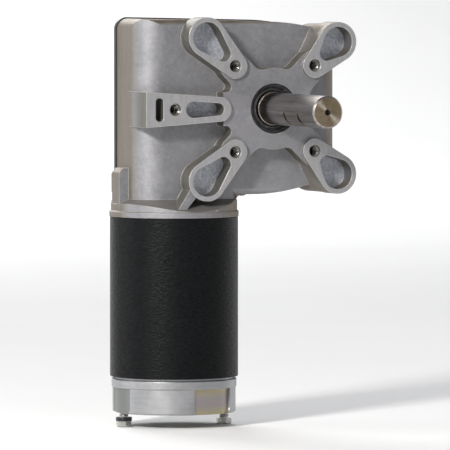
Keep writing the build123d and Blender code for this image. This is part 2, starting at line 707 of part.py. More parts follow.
def armature_shaft():
    """Motor shaft that carries the core, the commutator and the worm."""
    shaft = top_prism(Circle(ARBOR_R), ARBOR_BOTTOM_Z, ARBOR_TOP_Z)
    return on_motor_axis(chamfer(shaft.edges().filter_by(GeomType.CIRCLE), 0.8))


def slot_places():
    """Rotation of each armature slot about the motor axis."""
    return [Rot(0, 0, 360 / CORE_SLOTS * number) for number in range(CORE_SLOTS)]


def armature_core():
    """Laminated iron core with winding slots."""
    core = ring(CORE_R, ARBOR_R)
    for place in slot_places():
        core = core - place * Pos(20.5, 0) * Rectangle(11, 3.6) - place * Pos(27, 0) * Rectangle(4, 1.8)
    return on_motor_axis(top_prism(core, CORE_BOTTOM_Z, CORE_TOP_Z))


def armature_windings():
    """Copper coils: bars in the slots and the overhangs at both ends."""
    overhang = turned(
        (9, 0), (14, WINDING_OVERHANG), (22, WINDING_OVERHANG), (26, WINDING_OVERHANG - 3.5), (26.4, 2), (25.5, 0)
    )
    coils = Pos(0, 0, CORE_TOP_Z) * overhang + Pos(0, 0, CORE_BOTTOM_Z) * Rot(180, 0, 0) * overhang
    for place in slot_places():
        coils = coils + place * Pos(20.5, 0, (CORE_TOP_Z + CORE_BOTTOM_Z) / 2) * Box(
            10.6, 3.2, CORE_TOP_Z - CORE_BOTTOM_Z + 1
        )
    return on_motor_axis(coils)


def commutator():
    """Copper commutator, its bars parted by narrow slots."""
    barrel = ring(COMMUTATOR_R, ARBOR_R)
    for place in slot_places():
        barrel = barrel - place * Pos(COMMUTATOR_R, 0) * Rectangle(2.6, 0.7)
    return on_motor_axis(top_prism(barrel, COMMUTATOR_BOTTOM_Z, COMMUTATOR_TOP_Z))


def tip_bush():
    """Bronze bush for the top end of the armature shaft."""
    return on_motor_axis(top_prism(ring(9, ARBOR_R + RUNNING_GAP), 30, 43.6))


def thrust_pad():
    """Hardened disc that takes the worm's end thrust."""
    return on_motor_axis(top_prism(Circle(8.9), 43.6, 45.4))


def oil_seal():
    """Seal that keeps the gear grease out of the motor."""
    profile = ring(OIL_SEAL_R, SPACER_R + RUNNING_GAP)
    return on_motor_axis(top_prism(profile, OIL_SEAL_Z, OIL_SEAL_Z + OIL_SEAL_HEIGHT))


def worm_spacer():
    """Sleeve between the worm and its bearing."""
    low = DRIVE_BEARING_Z + SMALL_BEARING_WIDTH
    return on_motor_axis(top_prism(ring(SPACER_R, ARBOR_R), low, -WORM_LENGTH / 2))


# ---------------------------------------------------------------- motor body


def motor_tube():
    """Plain steel tube, the outer body of the motor."""
    tube = top_prism(ring(TUBE_R, TUBE_BORE_R), TUBE_BOTTOM_Z, TUBE_TOP_Z)
    tube = chamfer(tube.edges().filter_by(GeomType.CIRCLE).sort_by(SortBy.RADIUS)[-2:], 0.4)
    return on_motor_axis(tube)


def field_magnets():
    """Four curved magnets inside the tube."""
    outline = sector(MAGNET_IN_R, TUBE_BORE_R - RUNNING_GAP, 45 - MAGNET_HALF_ANGLE, 45 + MAGNET_HALF_ANGLE)
    magnet = top_prism(outline, CORE_BOTTOM_Z - 3, CORE_TOP_Z + 3).solid()
    return Compound([on_motor_axis(Rot(0, 0, 90 * number) * magnet) for number in range(4)])


def bolt_clearance(radius):
    """Both long bolt holes through the motor end parts."""
    holes = [Pos(x, y, (CAP_BOTTOM_Z + CAP_TOP_Z) / 2) * Cylinder(radius, 60) for x, y in bolt_places()]
    return holes[0] + holes[1]


def recess_corner(angle):
    """Filler that rounds the lower corner of a cap recess at the given side."""
    size = CAP_RECESS_CORNER_R
    block = Pos(CAP_RECESS_R, -size / 2, CAP_BOTTOM_Z + size / 2 - 1) * Box(8, size, size + 2)
    barrel = Pos(CAP_RECESS_R, -size, CAP_BOTTOM_Z + size) * Rot(0, 90, 0) * Cylinder(size, 10)
    above = Pos(CAP_RECESS_R, -size, CAP_BOTTOM_Z + size + 2) * Box(10, 2 * size, 4)
    return Rot(0, 0, angle) * (block - barrel - above)


def end_cap():
    """Cast end cap with the end bearing seat, shallow outer recesses and a lead hole."""
    body = top_prism(Circle(CAP_R), CAP_BOTTOM_Z, CAP_TOP_Z)
    body = chamfer(body.edges().group_by(Axis.Z)[0], 0.8)
    rim = top_prism(Circle(CAP_RIM_R), CAP_TOP_Z - CAP_RIM_HEIGHT, CAP_TOP_Z)
    rim = chamfer(rim.edges(), 0.4)
    spigot = top_prism(Circle(TUBE_BORE_R - RUNNING_GAP), CAP_TOP_Z, CAP_TOP_Z + 6)
    body = body + rim + spigot
    cavity = top_prism(Circle(CAP_CAVITY_R), CAP_BOTTOM_Z + 3, CAP_TOP_Z + 7)
    cavity = cavity - top_prism(Circle(SMALL_BEARING_R + 3.5), CAP_BOTTOM_Z, END_BEARING_Z + SMALL_BEARING_WIDTH)
    for side in (-1, 1):
        cavity = cavity - top_prism(Pos(side * BOLT_CIRCLE_R, 0) * Circle(4.6), CAP_BOTTOM_Z, CAP_TOP_Z)
    body = body - cavity
    body = body - top_prism(Circle(SMALL_BEARING_R), END_BEARING_Z - 1.4, CAP_TOP_Z)
    for start, stop in CAP_RECESSES:
        recess = top_prism(sector(CAP_RECESS_R, CAP_RIM_R + 2, start, stop), CAP_BOTTOM_Z - 1, CAP_TOP_Z - CAP_RIM_HEIGHT)
        body = body - (recess - recess_corner(stop))
    body = body - lead_hole(LEAD_HOLE_R)
    return on_motor_axis(body) - bolt_clearance(BOLT_R + 0.1)


def lead_hole(radius):
    """Radial hole at the back of the cap, where the leads would pass."""
    return Rot(0, 0, LEAD_HOLE_ANGLE) * Pos(CAP_RECESS_R - 2, 0, LEAD_HOLE_Z) * Rot(0, 90, 0) * Cylinder(radius, 12)


def lead_grommet():
    """Rubber grommet in the lead hole."""
    sleeve_length = 5.5
    grommet = extrude(ring(LEAD_HOLE_R - RUNNING_GAP, LEAD_BORE_R), sleeve_length)
    flange = extrude(Circle(LEAD_HOLE_R + 1.5), 1.5)
    flange = chamfer(flange.edges().group_by(Axis.Z)[-1], 0.5) - Cylinder(LEAD_BORE_R, 6)
    grommet = grommet + Pos(0, 0, sleeve_length) * flange
    place = Rot(0, 0, LEAD_HOLE_ANGLE) * Pos(CAP_RECESS_R - 4.0, 0, LEAD_HOLE_Z) * Rot(0, 90, 0)
    return on_motor_axis(place * grommet)


def through_bolts():
    """Two long hex-head bolts that clamp the cap, the tube and the casting."""
    hexagon = Rot(0, 0, BOLT_HEAD_TURN) * RegularPolygon(BOLT_HEAD_FLATS / 2, 6, major_radius=False)
    head = top_prism(hexagon, BOLT_HEAD_TOP_Z - BOLT_HEAD_HEIGHT, BOLT_HEAD_TOP_Z)
    dome = Pos(0, 0, BOLT_HEAD_TOP_Z - BOLT_HEAD_HEIGHT / 2) * Cylinder(4.55, BOLT_HEAD_HEIGHT)
    head = head & chamfer(dome.edges().group_by(Axis.Z)[0], 0.6)
    bolt = (head + top_prism(Circle(BOLT_R), BOLT_HEAD_TOP_Z, BOLT_TOP_Z)).solid()
    return Compound([Pos(x, y, 0) * bolt for x, y in bolt_places()])


def bolt_washer():
    """Thick dark washer on the left bolt's head."""
    x, y = bolt_places()[0]
    profile = ring(4.8, BOLT_R + RUNNING_GAP)
    return Pos(x, y, 0) * top_prism(profile, BOLT_HEAD_TOP_Z, BOLT_HEAD_TOP_Z + BOLT_WASHER_HEIGHT)


def wave_washer():
    """Spring washer that preloads the end bearing."""
    low = END_BEARING_Z - 1.4
    return on_motor_axis(top_prism(ring(SMALL_BEARING_R - 0.4, 12.5), low + 0.2, END_BEARING_Z))


def brush_place(side):
    """Rotation that puts a brush laid along +X at its own angle."""
    return Pos(0, 0, BRUSH_Z) * Rot(0, 0, BRUSH_ANGLES[side])


def brush_block(inner_r, outer_r, grow):
    """Block along +X with the brush's section, grown all round."""
    length = outer_r - inner_r
    return Pos((inner_r + outer_r) / 2, 0, 0) * Box(length, BRUSH_WIDTH + 2 * grow, BRUSH_HEIGHT + 2 * grow)


def brush(side):
    """Carbon brush, hollowed at its inner end to the commutator's radius."""
    block = brush_block(COMMUTATOR_R - 1, BRUSH_OUT_R, 0) - Cylinder(COMMUTATOR_R + RUNNING_GAP, 30)
    return on_motor_axis(brush_place(side) * block)


def brush_spring(side):
    """Coil spring behind a brush, drawn as a tube of its coil size."""
    coil = Cylinder(3.0, HOLDER_OUT_R - 1 - BRUSH_OUT_R) - Cylinder(2.4, 20)
    place = Pos((HOLDER_OUT_R - 1 + BRUSH_OUT_R) / 2, 0, 0) * Rot(0, 90, 0)
    return on_motor_axis(brush_place(side) * place * coil)


def brush_holders():
    """Brass boxes that guide the two brushes."""
    shapes = []
    for side in BRUSH_ANGLES:
        box = brush_block(COMMUTATOR_R + 2.5, HOLDER_OUT_R, 1.0)
        box = box - brush_block(COMMUTATOR_R, HOLDER_OUT_R - 1, RUNNING_GAP)
        shapes.append(on_motor_axis(brush_place(side) * box).solid())
    return Compound(shapes)


def brush_plate():
    """Insulating ring that carries the brush boxes."""
    top = BRUSH_Z - BRUSH_HEIGHT / 2 - 1.0
    plate = top_prism(ring(CAP_CAVITY_R - 0.2, COMMUTATOR_R + 2), top - 2, top)
    return on_motor_axis(plate) - bolt_clearance(4.8)


def build():
    """Write every piece."""
    os.makedirs("parts", exist_ok=True)
    write("gear_housing", gear_housing())
    write("gearbox_cover", gearbox_cover())
    write("cover_gasket", cover_gasket())
    write("cover_screws", cover_screws())
    write("output_shaft", output_shaft())
    write("wheel_key", wheel_key())
    write("worm_wheel_hub", worm_wheel_hub())
    write("worm_wheel_rim", worm_wheel_rim())
    write("output_seal", output_seal())
    write_bearing("front_bearing", Pos(0, FRONT_BEARING_Y, 0) * Rot(-90, 0, 0), OUTPUT_BEARING)
    write_bearing("rear_bearing", Pos(0, REAR_BEARING_Y, 0) * Rot(-90, 0, 0), OUTPUT_BEARING)
    write("armature_shaft", armature_shaft())
    write("worm", worm())
    write("worm_spacer", worm_spacer())
    write("armature_core", armature_core())
    write("armature_windings", armature_windings())
    write("commutator", commutator())
    write("tip_bush", tip_bush())
    write("thrust_pad", thrust_pad())
    write("oil_seal", oil_seal())
    write_bearing("drive_bearing", Pos(MOTOR_X, MOTOR_Y, DRIVE_BEARING_Z), MOTOR_BEARING)
    write_bearing("end_bearing", Pos(MOTOR_X, MOTOR_Y, END_BEARING_Z), MOTOR_BEARING)
    write("motor_tube", motor_tube())
    write("field_magnets", field_magnets())
    write("end_cap", end_cap())
    write("lead_grommet", lead_grommet())
    write("through_bolts", through_bolts())
    write("bolt_washer", bolt_washer())
    write("wave_washer", wave_washer())
    write("brush_plate", brush_plate())
    write("brush_holders", brush_holders())
    for side in BRUSH_ANGLES:
        write("brush_" + side, brush(side))
        write("brush_spring_" + side, brush_spring(side))


build()
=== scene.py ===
import json
import math

import bpy
from mathutils import Matrix, Vector


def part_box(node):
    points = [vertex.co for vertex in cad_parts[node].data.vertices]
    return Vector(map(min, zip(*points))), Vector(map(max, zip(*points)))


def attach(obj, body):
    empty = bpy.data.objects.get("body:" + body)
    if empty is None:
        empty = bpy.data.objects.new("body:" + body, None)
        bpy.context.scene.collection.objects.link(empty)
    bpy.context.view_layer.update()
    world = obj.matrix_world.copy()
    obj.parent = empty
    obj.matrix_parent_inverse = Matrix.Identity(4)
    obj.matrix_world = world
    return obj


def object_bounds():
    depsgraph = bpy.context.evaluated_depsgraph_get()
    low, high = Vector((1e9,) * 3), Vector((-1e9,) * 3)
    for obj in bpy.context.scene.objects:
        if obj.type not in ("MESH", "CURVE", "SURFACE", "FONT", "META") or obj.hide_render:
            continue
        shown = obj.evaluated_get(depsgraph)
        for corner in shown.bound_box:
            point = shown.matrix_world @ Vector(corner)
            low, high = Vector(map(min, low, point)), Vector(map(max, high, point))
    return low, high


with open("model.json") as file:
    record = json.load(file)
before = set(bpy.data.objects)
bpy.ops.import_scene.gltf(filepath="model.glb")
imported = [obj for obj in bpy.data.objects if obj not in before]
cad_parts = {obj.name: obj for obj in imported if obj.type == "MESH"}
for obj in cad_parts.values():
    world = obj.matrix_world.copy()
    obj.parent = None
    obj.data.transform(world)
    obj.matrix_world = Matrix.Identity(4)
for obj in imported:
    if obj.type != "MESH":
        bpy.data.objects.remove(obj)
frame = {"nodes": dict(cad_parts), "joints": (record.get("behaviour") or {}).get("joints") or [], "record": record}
CAD_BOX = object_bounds()
MM = 0.001

# ------------------------------------------------------------------ places taken from the frame

RECORD = frame["record"]
MOUNTS = {mount["name"]: mount for mount in RECORD["mounts"]}
JOINTS = {joint["name"]: joint for joint in frame["joints"]}
SHAFT_R = MOUNTS["output_shaft"]["dims"]["r_mm"] * MM
HOLE_R = MOUNTS["side_pad_hole"]["dims"]["r_mm"] * MM
HOLE_LENGTH = MOUNTS["side_pad_hole"]["dims"]["length_mm"] * MM
HALF_PITCH = MOUNTS["mounting_holes"]["dims"]["spacing_x_mm"] * MM / 2
PAD_HOLE_X = MOUNTS["side_pad_hole"]["pos_m"][0]
MOTOR_X, MOTOR_Y = JOINTS["armature_spin"]["pos_m"][:2]
TAPPED_HOLES = [(PAD_HOLE_X, 0.0)]
for side in (-1, 1):
    for level in (-1, 1):
        TAPPED_HOLES.append((side * HALF_PITCH, level * HALF_PITCH))
SHAFT_END_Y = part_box("output_shaft")[0].y
CAP_LOW_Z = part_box("end_cap")[0].z

# ------------------------------------------------------------------ sizes that match the part

POCKET_FLOOR_Y = 12 * MM
SHOULDER_LOW_Z = -51 * MM
SHOULDER_HIGH_Z = -46 * MM
RECESS_HEIGHT = 15.2 * MM
RECESS_MIDDLE = 7.5 * MM
BOLT_CIRCLE_R = 32 * MM
BOLT_R = 2.5 * MM
BOLT_THREAD_PITCH = 0.8 * MM
BOLT_HEAD_HEIGHT = 3.3 * MM

# ------------------------------------------------------------------ node helpers


class Shader:
    """One node material, with short calls for the nodes that these materials use."""

    def __init__(self, name):
        self.material = bpy.data.materials.new(name)
        self.material.use_nodes = True
        self.tree = self.material.node_tree
        self.bsdf = self.tree.nodes["Principled BSDF"]
        self.coords = self.tree.nodes.new("ShaderNodeTexCoord")

    def link(self, source, target):
        self.tree.links.new(source, target)

    def put(self, node, socket, value):
        """Set an input to a number, a colour or another node's output."""
        if isinstance(value, bpy.types.NodeSocket):
            self.link(value, node.inputs[socket])
        else:
            node.inputs[socket].default_value = value

    def put_color(self, node, socket, value):
        """Set a colour input to a triple or another node's output."""
        self.put(node, socket, value if isinstance(value, bpy.types.NodeSocket) else (*value, 1.0))

    def math(self, operation, a, b=0.0, c=0.0, clamp=False):
        node = self.tree.nodes.new("ShaderNodeMath")
        node.operation = operation
        node.use_clamp = clamp
        for index, value in enumerate((a, b, c)):
            self.put(node, index, value)
        return node.outputs[0]

    def object_xyz(self):
        """The three object coordinates of the shaded point, in metres."""
        split = self.tree.nodes.new("ShaderNodeSeparateXYZ")
        self.link(self.coords.outputs["Object"], split.inputs[0])
        return split.outputs

    def normal_xyz(self):
        """The three parts of the surface normal in object space."""
        split = self.tree.nodes.new("ShaderNodeSeparateXYZ")
        self.link(self.coords.outputs["Normal"], split.inputs[0])
        return split.outputs

    def stretched(self, scale=(1.0, 1.0, 1.0)):
        """Object coordinates multiplied by a scale along each axis."""
        mapping = self.tree.nodes.new("ShaderNodeMapping")
        mapping.inputs["Scale"].default_value = scale
        self.link(self.coords.outputs["Object"], mapping.inputs["Vector"])
        return mapping.outputs[0]

    def noise(self, vector, scale=1.0, detail=3.0, roughness=0.55):
        node = self.tree.nodes.new("ShaderNodeTexNoise")
        node.inputs["Scale"].default_value = scale
        node.inputs["Detail"].default_value = detail
        node.inputs["Roughness"].default_value = roughness
        self.link(vector, node.inputs["Vector"])
        return node.outputs["Fac"]

    def cells(self, vector, scale, smooth=True):
        node = self.tree.nodes.new("ShaderNodeTexVoronoi")
        node.feature = "SMOOTH_F1" if smooth else "F1"
        node.inputs["Scale"].default_value = scale
        self.link(vector, node.inputs["Vector"])
        return node.outputs["Distance"]

    def spread(self, value, low, high, to_low=0.0, to_high=1.0):
        """Map a value from one range to another, clamped."""
        node = self.tree.nodes.new("ShaderNodeMapRange")
        node.inputs["From Min"].default_value = low
        node.inputs["From Max"].default_value = high
        node.inputs["To Min"].default_value = to_low
        node.inputs["To Max"].default_value = to_high
        self.link(value, node.inputs["Value"])
        return node.outputs["Result"]

    def mix(self, factor, a, b, blend="MIX"):
        """Mix two colours, each a triple or an output."""
        node = self.tree.nodes.new("ShaderNodeMix")
        node.data_type = "RGBA"
        node.blend_type = blend
        self.put(node, 0, factor)
        for socket, value in ((6, a), (7, b)):
            self.put_color(node, socket, value)
        return node.outputs[2]

    def edge_normal(self, radius):
        """Surface normal with the hard edges rounded off."""
        node = self.tree.nodes.new("ShaderNodeBevel")
        node.samples = 4
        node.inputs["Radius"].default_value = radius
        return node.outputs["Normal"]

    def edge_mask(self, rounded, low=0.02, high=0.25):
        """1 on hard edges, 0 on faces, from how far the rounded normal leans."""
        geometry = self.tree.nodes.new("ShaderNodeNewGeometry")
        dot = self.tree.nodes.new("ShaderNodeVectorMath")
        dot.operation = "DOT_PRODUCT"
        self.link(rounded, dot.inputs[0])
        self.link(geometry.outputs["Normal"], dot.inputs[1])
        lean = self.math("SUBTRACT", 1.0, dot.outputs["Value"])
        return self.spread(lean, low, high)

    def bump(self, height, depth, normal=None, strength=1.0):
        node = self.tree.nodes.new("ShaderNodeBump")
        node.inputs["Distance"].default_value = depth
        node.inputs["Strength"].default_value = strength
        self.link(height, node.inputs["Height"])
        if normal is not None:
            self.link(normal, node.inputs["Normal"])
        return node.outputs["Normal"]

    def finish(self, color, roughness, metallic, normal=None, **sockets):
        """Join the outputs to the surface and return the material."""
        self.put_color(self.bsdf, "Base Color", color)
        self.put(self.bsdf, "Roughness", roughness)
        self.put(self.bsdf, "Metallic", metallic)
        if normal is not None:
            self.link(normal, self.bsdf.inputs["Normal"])
        for name, value in sockets.items():
            self.bsdf.inputs[name.replace("_", " ")].default_value = value
        return self.material


# ------------------------------------------------------------------ materials


def cast_aluminium():
    """Die-cast housing: grained cast skin, painted warm shade on top, bottom and sides, painted shade on the leg
    sides, painted highlight on hard edges, lighter machined faces.
    """
    s = Shader("cast_aluminium")
    x, y, z = s.object_xyz()
    nx, ny, nz = s.normal_xyz()
    rounded = s.edge_normal(0.6 * MM)
    edges = s.edge_mask(rounded, 0.015, 0.2)
    facing = s.math("MULTIPLY", ny, -1.0)

    in_plane = s.math("COMPARE", y, 0.0, 0.0004)
    machined = s.math("MULTIPLY", in_plane, s.spread(facing, 0.9, 0.97))
    in_pocket = s.math("COMPARE", y, POCKET_FLOOR_Y, 0.5 * MM)
    in_pocket = s.math("MULTIPLY", in_pocket, s.spread(facing, 0.9, 0.97))

    blotches = s.noise(s.stretched(), 48.0, 5.0, 0.62)
    mottle = s.noise(s.stretched(), 330.0, 4.0, 0.65)
    grain = s.noise(s.stretched(), 1500.0, 3.0, 0.7)
    shade_streaks = s.noise(s.stretched((90, 90, 14)), 1.0, 4.0, 0.6)
    skin = s.mix(s.spread(blotches, 0.3, 0.72), (0.212, 0.212, 0.226), (0.310, 0.306, 0.318))
    skin = s.mix(s.spread(mottle, 0.4, 0.7, 0.0, 0.4), skin, (0.375, 0.372, 0.39))
    sparkle = s.noise(s.stretched(), 800.0, 4.0, 0.7)
    floor = s.mix(s.spread(sparkle, 0.36, 0.64), (0.42, 0.445, 0.50), (0.74, 0.77, 0.85))
    skin = s.mix(in_pocket, skin, floor)
    skin = s.mix(s.spread(grain, 0.4, 0.75, 0.0, 0.3), skin, (0.13, 0.135, 0.15))

    # Painted warm shade: surfaces facing up, down or right take a darker, streaked brown.
    side_shade = s.mix(s.spread(shade_streaks, 0.3, 0.7), (0.125, 0.102, 0.075), (0.225, 0.19, 0.145))
    above_shoulder = s.spread(z, SHOULDER_LOW_Z, SHOULDER_HIGH_Z, 0.45, 1.0)
    upward = s.math("MULTIPLY", s.math("ABSOLUTE", nz), above_shoulder)
    turned_away = s.math("MAXIMUM", upward, nx)
    skin = s.mix(s.spread(turned_away, 0.22, 0.72), skin, side_shade)
    # Painted shade on the left-facing curved side, away from the front.
    left_side_shade = s.math("MULTIPLY", s.spread(nx, -0.95, -0.45, 1.0, 0.0), s.spread(y, 20 * MM, 26 * MM))
    skin = s.mix(s.math("MULTIPLY", left_side_shade, 0.85), skin, s.mix(0.5, side_shade, (0.20, 0.18, 0.155)))
    # Painted shade on the leg sides near the front, lighter towards the right.
    shade = s.mix(s.spread(shade_streaks, 0.3, 0.7), (0.11, 0.105, 0.092), (0.18, 0.172, 0.155))
    near_front = s.spread(y, 8 * MM, 24 * MM, 1.0, 0.0)
    leg_wall_shade = s.math("MULTIPLY", s.spread(facing, 0.0, 0.3, 1.0, 0.0), near_front)
    leg_wall_shade = s.math("MULTIPLY", leg_wall_shade, s.spread(x, 0.0, 25 * MM, 1.0, 0.45))
    skin = s.mix(leg_wall_shade, skin, shade)
    # Painted warm highlight along the hard edges and fillets of the cast skin.
    skin = s.mix(s.math("MULTIPLY", edges, 0.7), skin, (0.62, 0.57, 0.50))

    milling = s.noise(s.stretched((900, 900, 60)), 1.0, 3.0, 0.6)
    face = s.mix(s.spread(milling, 0.3, 0.7), (0.36, 0.355, 0.365), (0.46, 0.455, 0.46))
    face = s.mix(s.spread(mottle, 0.35, 0.7, 0.0, 0.35), face, (0.30, 0.30, 0.32))
    # Painted highlight along the edges of the machined faces.
    face = s.mix(edges, face, (0.80, 0.78, 0.74))
    color = s.mix(machined, skin, face)

    rough = s.spread(grain, 0.3, 0.75, 0.46, 0.62)
    rough = s.math("SUBTRACT", rough, s.math("MULTIPLY", machined, 0.14))
    height = s.math("ADD", s.math("MULTIPLY", grain, 0.6), s.math("MULTIPLY", mottle, 1.6))
    height = s.math("ADD", height, s.math("MULTIPLY", blotches, 3.0))
    height = s.math("MULTIPLY", height, s.math("SUBTRACT", 1.0, s.math("MULTIPLY", machined, 0.85)))
    normal = s.bump(height, 0.09 * MM, rounded, 0.7)
    return s.finish(color, rough, 0.6, normal)


def crinkle_black():
    """Motor tube: black paint with a fine crinkle that runs mostly around the tube."""
    s = Shader("crinkle_black")
    pebbles = s.cells(s.stretched((0.7, 0.7, 1.5)), 900.0)
    wrinkles = s.noise(s.stretched((0.6, 0.6, 1.6)), 620.0, 4.0, 0.65)
    broad = s.noise(s.stretched(), 40.0, 3.0)
    height = s.math("ADD", s.math("MULTIPLY", pebbles, 0.8), wrinkles)
    rounded = s.edge_normal(0.4 * MM)
    color = s.mix(s.spread(wrinkles, 0.38, 0.62), (0.0006, 0.0008, 0.0008), (0.0055, 0.0065, 0.0075))
    color = s.mix(s.spread(broad, 0.3, 0.7, 0.0, 0.2), color, (0.005, 0.0055, 0.0065))
    rough = s.spread(wrinkles, 0.3, 0.7, 0.52, 0.36)
    normal = s.bump(height, 0.3 * MM, rounded, 0.75)
    sheen = {"Specular_IOR_Level": 0.12, "Sheen_Weight": 0.10, "Sheen_Roughness": 0.35}
    return s.finish(color, rough, 0.0, normal, **sheen)


def black_paint():
    """Rear cover: satin black paint over a casting, thin at its edges."""
    s = Shader("black_paint")
    peel = s.noise(s.stretched(), 520.0, 3.0)
    rounded = s.edge_normal(0.5 * MM)
    edges = s.edge_mask(rounded, 0.05, 0.35)
    dust = s.noise(s.stretched(), 60.0, 5.0, 0.65)
    color = s.mix(s.spread(dust, 0.4, 0.75, 0.0, 0.5), (0.012, 0.012, 0.013), (0.035, 0.034, 0.032))
    color = s.mix(s.math("MULTIPLY", edges, 0.5), color, (0.10, 0.10, 0.10))
    rough = s.spread(dust, 0.3, 0.7, 0.34, 0.5)
    return s.finish(color, rough, 0.0, s.bump(peel, 0.06 * MM, rounded, 0.6))


def ground_shaft():
    """Ground steel shaft: streaks along its length and turned rings on its ends."""
    s = Shader("ground_shaft")
    x, y, z = s.object_xyz()
    ny = s.normal_xyz()[1]
    radius = s.math("SQRT", s.math("ADD", s.math("MULTIPLY", x, x), s.math("MULTIPLY", z, z)))
    end = s.spread(s.math("ABSOLUTE", ny), 0.85, 0.95)
    streak = s.noise(s.stretched((520, 9, 520)), 1.0, 4.0, 0.6)
    fine = s.noise(s.stretched((2600, 60, 2600)), 1.0, 2.0, 0.6)
    body = s.mix(s.spread(streak, 0.32, 0.68), (0.16, 0.135, 0.115), (0.40, 0.37, 0.37))
    body = s.mix(s.spread(fine, 0.35, 0.7, 0.0, 0.4), body, (0.50, 0.47, 0.46))
    rings = s.math("SINE", s.math("MULTIPLY", radius, 2 * math.pi / (0.32 * MM)))
    smear = s.noise(s.stretched((70, 70, 70)), 1.0, 3.0)
    disc = s.mix(s.spread(smear, 0.3, 0.7), (0.24, 0.185, 0.11), (0.34, 0.27, 0.18))
    disc = s.mix(s.spread(rings, -1.0, 1.0, 0.0, 0.25), disc, (0.48, 0.40, 0.30))
    # Painted highlight: a bright streak across the turned end face.
    glint = s.math("DIVIDE", s.math("ABSOLUTE", s.math("ADD", x, z)), s.math("ADD", radius, 0.6 * MM))
    disc = s.mix(s.spread(glint, 0.0, 0.5, 0.75, 0.0), disc, (0.92, 0.84, 0.70))
    # Painted shade: the floors of the notches near the shaft end are darkened.
    behind_end = s.spread(y, SHAFT_END_Y + 4.3 * MM, SHAFT_END_Y + 5.3 * MM)
    below_skin = s.spread(radius, SHAFT_R - 0.425 * MM, SHAFT_R - 0.175 * MM, 1.0, 0.0)
    notch_floor_shade = s.math("MULTIPLY", behind_end, below_skin)
    notch_floor_shade = s.math("MULTIPLY", notch_floor_shade, s.spread(radius, 3 * MM, 4 * MM))
    body = s.mix(notch_floor_shade, body, (0.03, 0.022, 0.016))
    color = s.mix(end, body, disc)
    turning = s.math("MULTIPLY", s.math("MULTIPLY", rings, end), 0.35)
    height = s.math("ADD", s.math("MULTIPLY", fine, 0.5), turning)
    rounded = s.edge_normal(0.3 * MM)
    rough = s.spread(streak, 0.3, 0.7, 0.36, 0.24)
    around = s.tree.nodes.new("ShaderNodeTangent")
    around.direction_type = "RADIAL"
    around.axis = "Y"
    s.link(around.outputs[0], s.bsdf.inputs["Tangent"])
    return s.finish(color, rough, 1.0, s.bump(height, 0.02 * MM, rounded, 0.6), Anisotropic=0.8)


def cap_aluminium():
    """End cap: smooth light casting, one shallow recess with a painted gold reflection."""
    s = Shader("cap_aluminium")
    x, y, z = s.object_xyz()
    dx, dy = s.math("SUBTRACT", x, MOTOR_X), s.math("SUBTRACT", y, MOTOR_Y)
    angle = s.math("ARCTAN2", dy, dx)
    radius = s.math("SQRT", s.math("ADD", s.math("MULTIPLY", dx, dx), s.math("MULTIPLY", dy, dy)))
    recess_top = CAP_LOW_Z + RECESS_HEIGHT
    recess = s.spread(radius, 35.3 * MM, 35.7 * MM, 1.0, 0.0)
    recess = s.math("MULTIPLY", recess, s.spread(z, recess_top - 0.5 * MM, recess_top, 1.0, 0.0))
    # Painted reflection: one recess takes a gold tint over part of its angle.
    gold_reflection_area = s.math("MULTIPLY", s.spread(angle, -1.62, -1.58), s.spread(angle, -0.84, -0.79, 1.0, 0.0))
    gold_reflection_area = s.math("MULTIPLY", gold_reflection_area, recess)
    rounded = s.edge_normal(0.5 * MM)
    edges = s.edge_mask(rounded, 0.02, 0.25)
    cloud = s.noise(s.stretched(), 60.0, 4.0, 0.6)
    grain = s.noise(s.stretched(), 1300.0, 3.0)
    streaks = s.noise(s.stretched((60, 60, 700)), 1.0, 3.0)
    color = s.mix(s.spread(cloud, 0.3, 0.7), (0.30, 0.31, 0.315), (0.41, 0.41, 0.425))
    color = s.mix(s.spread(streaks, 0.35, 0.7, 0.0, 0.3), color, (0.50, 0.50, 0.51))
    middle = CAP_LOW_Z + RECESS_MIDDLE
    off_middle = s.math("ABSOLUTE", s.math("SUBTRACT", z, middle))
    band = s.spread(off_middle, 2 * MM, 7 * MM, -0.1, 0.75)
    band = s.math("ADD", band, s.spread(cloud, 0.3, 0.7, 0.0, 0.35))
    # Painted shade: the recess floors are darkened to a greenish grey.
    color = s.mix(s.math("MULTIPLY", recess, 0.8), color, (0.19, 0.20, 0.19))
    # Painted gold reflection, stronger towards the recess's top and bottom and greyer across its middle.
    gold = s.mix(s.math("MULTIPLY", band, 1.0, clamp=True), (0.36, 0.33, 0.335), (0.46, 0.41, 0.25))
    color = s.mix(gold_reflection_area, color, gold)
    color = s.mix(s.math("MULTIPLY", edges, 0.6), color, (0.62, 0.62, 0.62))
    height = s.math("ADD", grain, s.math("MULTIPLY", streaks, 0.5))
    rough = s.spread(cloud, 0.3, 0.7, 0.36, 0.48)
    return s.finish(color, rough, 0.85, s.bump(height, 0.02 * MM, rounded, 0.6))


def plain_metal(name, dark, light, roughness, metallic=1.0, streaks=(300, 300, 300), edge=None, depth=0.02):
    """Worked metal with uneven tone, fine scratches and lighter hard edges."""
    s = Shader(name)
    cloud = s.noise(s.stretched(), 160.0, 4.0, 0.6)
    scratch = s.noise(s.stretched(streaks), 1.0, 3.0, 0.6)
    rounded = s.edge_normal(0.3 * MM)
    color = s.mix(s.spread(cloud, 0.3, 0.7), dark, light)
    color = s.mix(s.spread(scratch, 0.4, 0.7, 0.0, 0.35), color, light)
    if edge:
        color = s.mix(s.math("MULTIPLY", s.edge_mask(rounded), 0.7), color, edge)
    rough = s.spread(scratch, 0.3, 0.7, roughness + 0.06, roughness - 0.06)
    return s.finish(color, rough, metallic, s.bump(scratch, depth * MM, rounded, 0.6))


